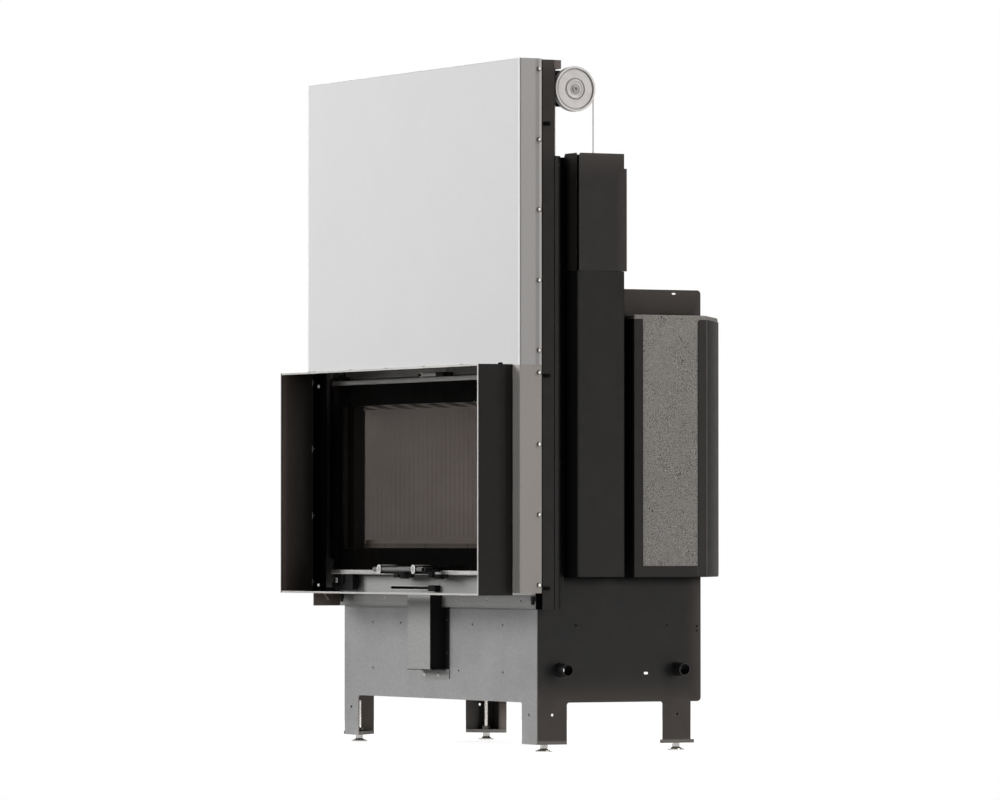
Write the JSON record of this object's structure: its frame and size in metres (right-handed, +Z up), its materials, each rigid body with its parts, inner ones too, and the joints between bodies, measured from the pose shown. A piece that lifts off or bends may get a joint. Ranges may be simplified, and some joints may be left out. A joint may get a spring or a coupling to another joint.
{
  "type": "lift-door fireplace insert",
  "caption": "Lift-door fireplace insert: steel firebox on a sheet-metal base with a counterweighted glass door that slides up behind a tall front panel.",
  "frame": {"origin": "on the floor, at the centre of the whole outline in plan", "axes": "+Z up, +X to the right seen from the front, the glass door faces -Y"},
  "size_m": [1.126, 0.7016, 1.589],
  "materials": {
    "zinc_sheet": "galvanised sheet, fine matt grain",
    "zinc_strip": "galvanised sheet, satin",
    "light_sheet": "light grey-white matt sheet",
    "black_paint": "matt black heat-proof paint",
    "foot_steel": "dull steel",
    "plated_steel": "bright zinc plate",
    "seal_fibre": "twisted heat-proof fibre",
    "bare_edge": "bare cut edge",
    "black_hardware": "black oxide",
    "refractory": "cast refractory slab, fine pores",
    "lining": "ribbed refractory board, sooted brown-grey",
    "cable_steel": "stranded wire",
    "weight_steel": "raw steel plates",
    "pulley_metal": "turned aluminium",
    "door_glass": "clear glass ceramic with a black printed border",
    "rail_metal": "satin aluminium",
    "peg_metal": "turned steel",
    "roller_plastic": "natural nylon"
  },
  "bodies": {
    "chassis": {"air_inlet_box": "zinc_sheet", "base_deck": "black_paint", "base_front_plate": "zinc_sheet", "base_rear_plate": "black_paint", "black_bolts": "black_hardware", "carrying_sleeves": "black_paint", "cladding_rear_frame": "black_paint", "cladding_rear_slabs": "refractory", "cladding_shelf": "black_paint", "cladding_side_frames": "black_paint", "cladding_side_slabs": "refractory", "counterweight_casings": "black_paint", "counterweight_covers": "black_paint", "firebox_front_frame": "black_paint", "firebox_shell": "black_paint", "flue_collar": "black_paint", "foot_plates": "foot_steel", "front_panel": "light_sheet", "front_strips": "zinc_sheet", "guide_channels": "zinc_sheet", "hearth_plate": "lining", "lift_cables": "cable_steel", "lining_panels": "lining", "lower_side_strips": "zinc_strip", "panel_screws": "plated_steel", "pulley_axles": "plated_steel", "pulley_brackets": "black_paint", "rear_strips": "black_paint", "seal_rope": "seal_fibre", "side_plate_left": "black_paint", "side_plate_right": "black_paint", "smoke_baffle": "lining", "smoke_hood": "black_paint", "strip_rivets": "black_hardware", "surround_edge_trim": "bare_edge", "surround_shell": "black_paint", "top_crossbar": "black_paint", "upright_left": "black_paint", "upright_right": "black_paint"},
    "door": {"door_glass": "door_glass", "door_frame": "black_paint", "door_rails": "rail_metal", "door_gasket": "seal_fibre", "handle_pegs": "peg_metal", "door_carriage_arms": "zinc_sheet", "door_hinges": "black_hardware"},
    "latch": {"door_latch_lever": "plated_steel"},
    "counterweight_left_body": {"counterweight_left": "weight_steel"},
    "counterweight_right_body": {"counterweight_right": "weight_steel"},
    "pulley_left_body": {"pulley_left": "pulley_metal"},
    "pulley_right_body": {"pulley_right": "pulley_metal"},
    "air_slide": {"air_control_slide": "black_hardware"},
    "roller_lower_left": {"guide_roller_lower_left": "roller_plastic"},
    "roller_lower_right": {"guide_roller_lower_right": "roller_plastic"},
    "roller_upper_left": {"guide_roller_upper_left": "roller_plastic"},
    "roller_upper_right": {"guide_roller_upper_right": "roller_plastic"},
    "foot_front_left": {"levelling_foot_front_left": "plated_steel"},
    "foot_front_right": {"levelling_foot_front_right": "plated_steel"},
    "foot_rear_left": {"levelling_foot_rear_left": "plated_steel"},
    "foot_rear_right": {"levelling_foot_rear_right": "plated_steel"}
  },
  "joints": [
    {"name": "door_lift", "type": "slide", "parent": "chassis", "child": "door", "axis": [0, 0, 1], "range_m": [0, 0.445], "deforming": ["lift_cables"]},
    {"name": "counterweight_left_slide", "type": "slide", "parent": "chassis", "child": "counterweight_left_body", "axis": [0, 0, 1], "range_m": [-0.445, 0]},
    {"name": "pulley_left_spin", "type": "hinge", "parent": "chassis", "child": "pulley_left_body", "pos_m": [-0.529, -0.10995, 1.523], "axis": [1, 0, 0], "range_deg": [-515, 5]},
    {"name": "roller_lower_left_spin", "type": "hinge", "parent": "door", "child": "roller_lower_left", "pos_m": [-0.528, -0.19715, 0.47], "axis": [1, 0, 0], "range_deg": [-1740, 5]},
    {"name": "roller_upper_left_spin", "type": "hinge", "parent": "door", "child": "roller_upper_left", "pos_m": [-0.528, -0.19715, 0.85], "axis": [1, 0, 0], "range_deg": [-1740, 5]},
    {"name": "counterweight_right_slide", "type": "slide", "parent": "chassis", "child": "counterweight_right_body", "axis": [0, 0, 1], "range_m": [-0.445, 0]},
    {"name": "pulley_right_spin", "type": "hinge", "parent": "chassis", "child": "pulley_right_body", "pos_m": [0.529, -0.10995, 1.523], "axis": [1, 0, 0], "range_deg": [-515, 5]},
    {"name": "roller_lower_right_spin", "type": "hinge", "parent": "door", "child": "roller_lower_right", "pos_m": [0.528, -0.19715, 0.47], "axis": [1, 0, 0], "range_deg": [-1740, 5]},
    {"name": "roller_upper_right_spin", "type": "hinge", "parent": "door", "child": "roller_upper_right", "pos_m": [0.528, -0.19715, 0.85], "axis": [1, 0, 0], "range_deg": [-1740, 5]},
    {"name": "latch_turn", "type": "hinge", "parent": "door", "child": "latch", "pos_m": [-0.02, -0.22315, 0.876], "axis": [0, -1, 0], "range_deg": [0, 80]},
    {"name": "air_control", "type": "slide", "parent": "chassis", "child": "air_slide", "axis": [1, 0, 0], "range_m": [-0.18, 0]},
    {"name": "levelling_front_left", "type": "hinge", "parent": "chassis", "child": "foot_front_left", "pos_m": [-0.474, -0.15915, 0], "axis": [0, 0, 1], "continuous": true},
    {"name": "levelling_front_right", "type": "hinge", "parent": "chassis", "child": "foot_front_right", "pos_m": [0.474, -0.15915, 0], "axis": [0, 0, 1], "continuous": true},
    {"name": "levelling_rear_left", "type": "hinge", "parent": "chassis", "child": "foot_rear_left", "pos_m": [-0.474, 0.18785, 0], "axis": [0, 0, 1], "continuous": true},
    {"name": "levelling_rear_right", "type": "hinge", "parent": "chassis", "child": "foot_rear_right", "pos_m": [0.474, 0.18785, 0], "axis": [0, 0, 1], "continuous": true}
  ],
  "couplings": [
    {"joint": "counterweight_left_slide", "follows": "door_lift", "ratio": -1},
    {"joint": "pulley_left_spin", "follows": "door_lift", "rad_per_m": -20},
    {"joint": "roller_lower_left_spin", "follows": "door_lift", "rad_per_m": -68.027},
    {"joint": "roller_upper_left_spin", "follows": "door_lift", "rad_per_m": -68.027},
    {"joint": "counterweight_right_slide", "follows": "door_lift", "ratio": -1},
    {"joint": "pulley_right_spin", "follows": "door_lift", "rad_per_m": -20},
    {"joint": "roller_lower_right_spin", "follows": "door_lift", "rad_per_m": -68.027},
    {"joint": "roller_upper_right_spin", "follows": "door_lift", "rad_per_m": -68.027}
  ]
}
